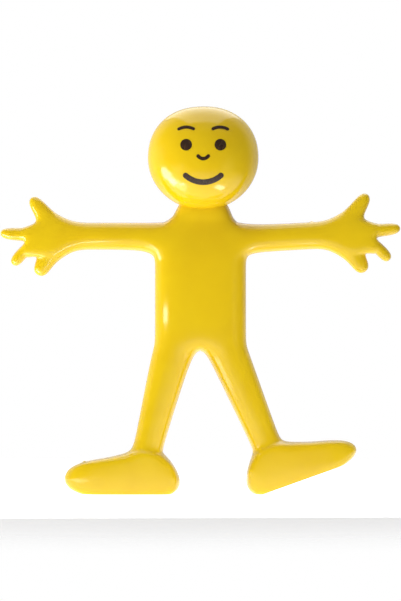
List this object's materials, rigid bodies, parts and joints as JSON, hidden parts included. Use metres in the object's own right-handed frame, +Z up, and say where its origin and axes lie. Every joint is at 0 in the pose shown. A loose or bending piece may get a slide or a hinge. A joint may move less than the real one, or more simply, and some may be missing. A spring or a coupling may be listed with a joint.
{
  "type": "bendy doll",
  "caption": "Small bendable doll of soft yellow vinyl over a steel wire armature, with a round head, open hands and big feet, standing with arms outstretched.",
  "frame": {"origin": "on the floor under the middle of the doll, at the bottom centre of its box", "axes": "+Z up through the head, +X from the doll's right hand to its left hand, front of the doll towards -Y"},
  "size_m": [0.1041, 0.0246, 0.1008],
  "materials": {
    "yellow_vinyl": "glossy soft vinyl",
    "steel_wire": "drawn soft steel",
    "face_ink": "pad-printed ink"
  },
  "bodies": {
    "pelvis": {"pelvis": "yellow_vinyl", "waist": "yellow_vinyl", "wire_pelvis_right": "steel_wire", "wire_pelvis_left": "steel_wire"},
    "chest": {"chest": "yellow_vinyl", "wire_chest_arms": "steel_wire", "wire_chest_right": "steel_wire", "wire_chest_left": "steel_wire"},
    "neck_bend": {"neck": "yellow_vinyl"},
    "head": {"head": "yellow_vinyl", "wire_head_loop": "steel_wire", "eye_right": "face_ink", "eye_left": "face_ink", "brow_right": "face_ink", "brow_left": "face_ink", "nose": "face_ink", "mouth": "face_ink"},
    "shoulder_bend_right": {"shoulder_right": "yellow_vinyl"},
    "upper_arm_right": {"upper_arm_right": "yellow_vinyl", "elbow_right": "yellow_vinyl", "wire_upper_arm_right": "steel_wire"},
    "forearm_right": {"forearm_right": "yellow_vinyl", "wrist_right": "yellow_vinyl", "wire_forearm_right": "steel_wire"},
    "hand_right": {"hand_right": "yellow_vinyl", "wire_hand_right": "steel_wire"},
    "shoulder_bend_left": {"shoulder_left": "yellow_vinyl"},
    "upper_arm_left": {"upper_arm_left": "yellow_vinyl", "elbow_left": "yellow_vinyl", "wire_upper_arm_left": "steel_wire"},
    "forearm_left": {"forearm_left": "yellow_vinyl", "wrist_left": "yellow_vinyl", "wire_forearm_left": "steel_wire"},
    "hand_left": {"hand_left": "yellow_vinyl", "wire_hand_left": "steel_wire"},
    "hip_bend_right": {"hip_right": "yellow_vinyl"},
    "thigh_right": {"thigh_right": "yellow_vinyl", "knee_right": "yellow_vinyl", "wire_thigh_right": "steel_wire"},
    "shin_right": {"shin_right": "yellow_vinyl", "ankle_right": "yellow_vinyl", "wire_shin_right": "steel_wire"},
    "foot_right": {"foot_right": "yellow_vinyl", "wire_foot_right": "steel_wire"},
    "hip_bend_left": {"hip_left": "yellow_vinyl"},
    "thigh_left": {"thigh_left": "yellow_vinyl", "knee_left": "yellow_vinyl", "wire_thigh_left": "steel_wire"},
    "shin_left": {"shin_left": "yellow_vinyl", "ankle_left": "yellow_vinyl", "wire_shin_left": "steel_wire"},
    "foot_left": {"foot_left": "yellow_vinyl", "wire_foot_left": "steel_wire"}
  },
  "joints": [
    {"name": "waist_bow", "type": "hinge", "parent": "pelvis", "child": "chest", "pos_m": [0, 0.0015, 0.05106], "axis": [1, 0, 0], "range_deg": [-45, 45], "deforming": ["waist"]},
    {"name": "neck_tilt", "type": "hinge", "parent": "chest", "child": "neck_bend", "pos_m": [0, 0.0015, 0.07226], "axis": [0, 1, 0], "range_deg": [-25, 25], "deforming": ["neck"]},
    {"name": "neck_nod", "type": "hinge", "parent": "neck_bend", "child": "head", "pos_m": [0, 0.0015, 0.07226], "axis": [1, 0, 0], "range_deg": [-25, 25]},
    {"name": "shoulder_lift_right", "type": "hinge", "parent": "chest", "child": "shoulder_bend_right", "pos_m": [-0.01521, 0.0015, 0.06706], "axis": [0, 1, 0], "range_deg": [-70, 70], "deforming": ["shoulder_right"]},
    {"name": "shoulder_swing_right", "type": "hinge", "parent": "shoulder_bend_right", "child": "upper_arm_right", "pos_m": [-0.01521, 0.0015, 0.06706], "axis": [0, 0, 1], "range_deg": [-70, 70]},
    {"name": "elbow_bend_right", "type": "hinge", "parent": "upper_arm_right", "child": "forearm_right", "pos_m": [-0.02375, 0.0015, 0.06706], "axis": [0, -1, 0], "range_deg": [-60, 60], "deforming": ["elbow_right"]},
    {"name": "wrist_bend_right", "type": "hinge", "parent": "forearm_right", "child": "hand_right", "pos_m": [-0.03076, 0.0015, 0.06706], "axis": [0, -1, 0], "range_deg": [-45, 45], "deforming": ["wrist_right"]},
    {"name": "shoulder_lift_left", "type": "hinge", "parent": "chest", "child": "shoulder_bend_left", "pos_m": [0.01521, 0.0015, 0.06646], "axis": [0, -1, 0], "range_deg": [-70, 70], "deforming": ["shoulder_left"]},
    {"name": "shoulder_swing_left", "type": "hinge", "parent": "shoulder_bend_left", "child": "upper_arm_left", "pos_m": [0.01521, 0.0015, 0.06646], "axis": [0, 0, -1], "range_deg": [-70, 70]},
    {"name": "elbow_bend_left", "type": "hinge", "parent": "upper_arm_left", "child": "forearm_left", "pos_m": [0.02373, 0.0015, 0.06691], "axis": [0, 1, 0], "range_deg": [-60, 60], "deforming": ["elbow_left"]},
    {"name": "wrist_bend_left", "type": "hinge", "parent": "forearm_left", "child": "hand_left", "pos_m": [0.03074, 0.0015, 0.06728], "axis": [0, 1, 0], "range_deg": [-45, 45], "deforming": ["wrist_left"]},
    {"name": "hip_spread_right", "type": "hinge", "parent": "pelvis", "child": "hip_bend_right", "pos_m": [-0.0079, 0.0015, 0.03506], "axis": [0, 1, 0], "range_deg": [-15, 40], "deforming": ["hip_right"]},
    {"name": "hip_swing_right", "type": "hinge", "parent": "hip_bend_right", "child": "thigh_right", "pos_m": [-0.0079, 0.0015, 0.03506], "axis": [-1, 0, 0], "range_deg": [-40, 90]},
    {"name": "knee_bend_right", "type": "hinge", "parent": "thigh_right", "child": "shin_right", "pos_m": [-0.01118, 0.0015, 0.02191], "axis": [1, 0, 0], "range_deg": [-70, 70], "deforming": ["knee_right"]},
    {"name": "ankle_bend_right", "type": "hinge", "parent": "shin_right", "child": "foot_right", "pos_m": [-0.01375, 0.0015, 0.01158], "axis": [0, 1, 0], "range_deg": [-25, 35], "deforming": ["ankle_right"]},
    {"name": "hip_spread_left", "type": "hinge", "parent": "pelvis", "child": "hip_bend_left", "pos_m": [0.0079, 0.0015, 0.03506], "axis": [0, 1, 0], "range_deg": [-40, 15], "deforming": ["hip_left"]},
    {"name": "hip_swing_left", "type": "hinge", "parent": "hip_bend_left", "child": "thigh_left", "pos_m": [0.0079, 0.0015, 0.03506], "axis": [-1, 0, 0], "range_deg": [-40, 90]},
    {"name": "knee_bend_left", "type": "hinge", "parent": "thigh_left", "child": "shin_left", "pos_m": [0.01313, 0.0015, 0.02256], "axis": [1, 0, 0], "range_deg": [-70, 70], "deforming": ["knee_left"]},
    {"name": "ankle_bend_left", "type": "hinge", "parent": "shin_left", "child": "foot_left", "pos_m": [0.01724, 0.0015, 0.01274], "axis": [0, 1, 0], "range_deg": [-35, 25], "deforming": ["ankle_left"]}
  ]
}
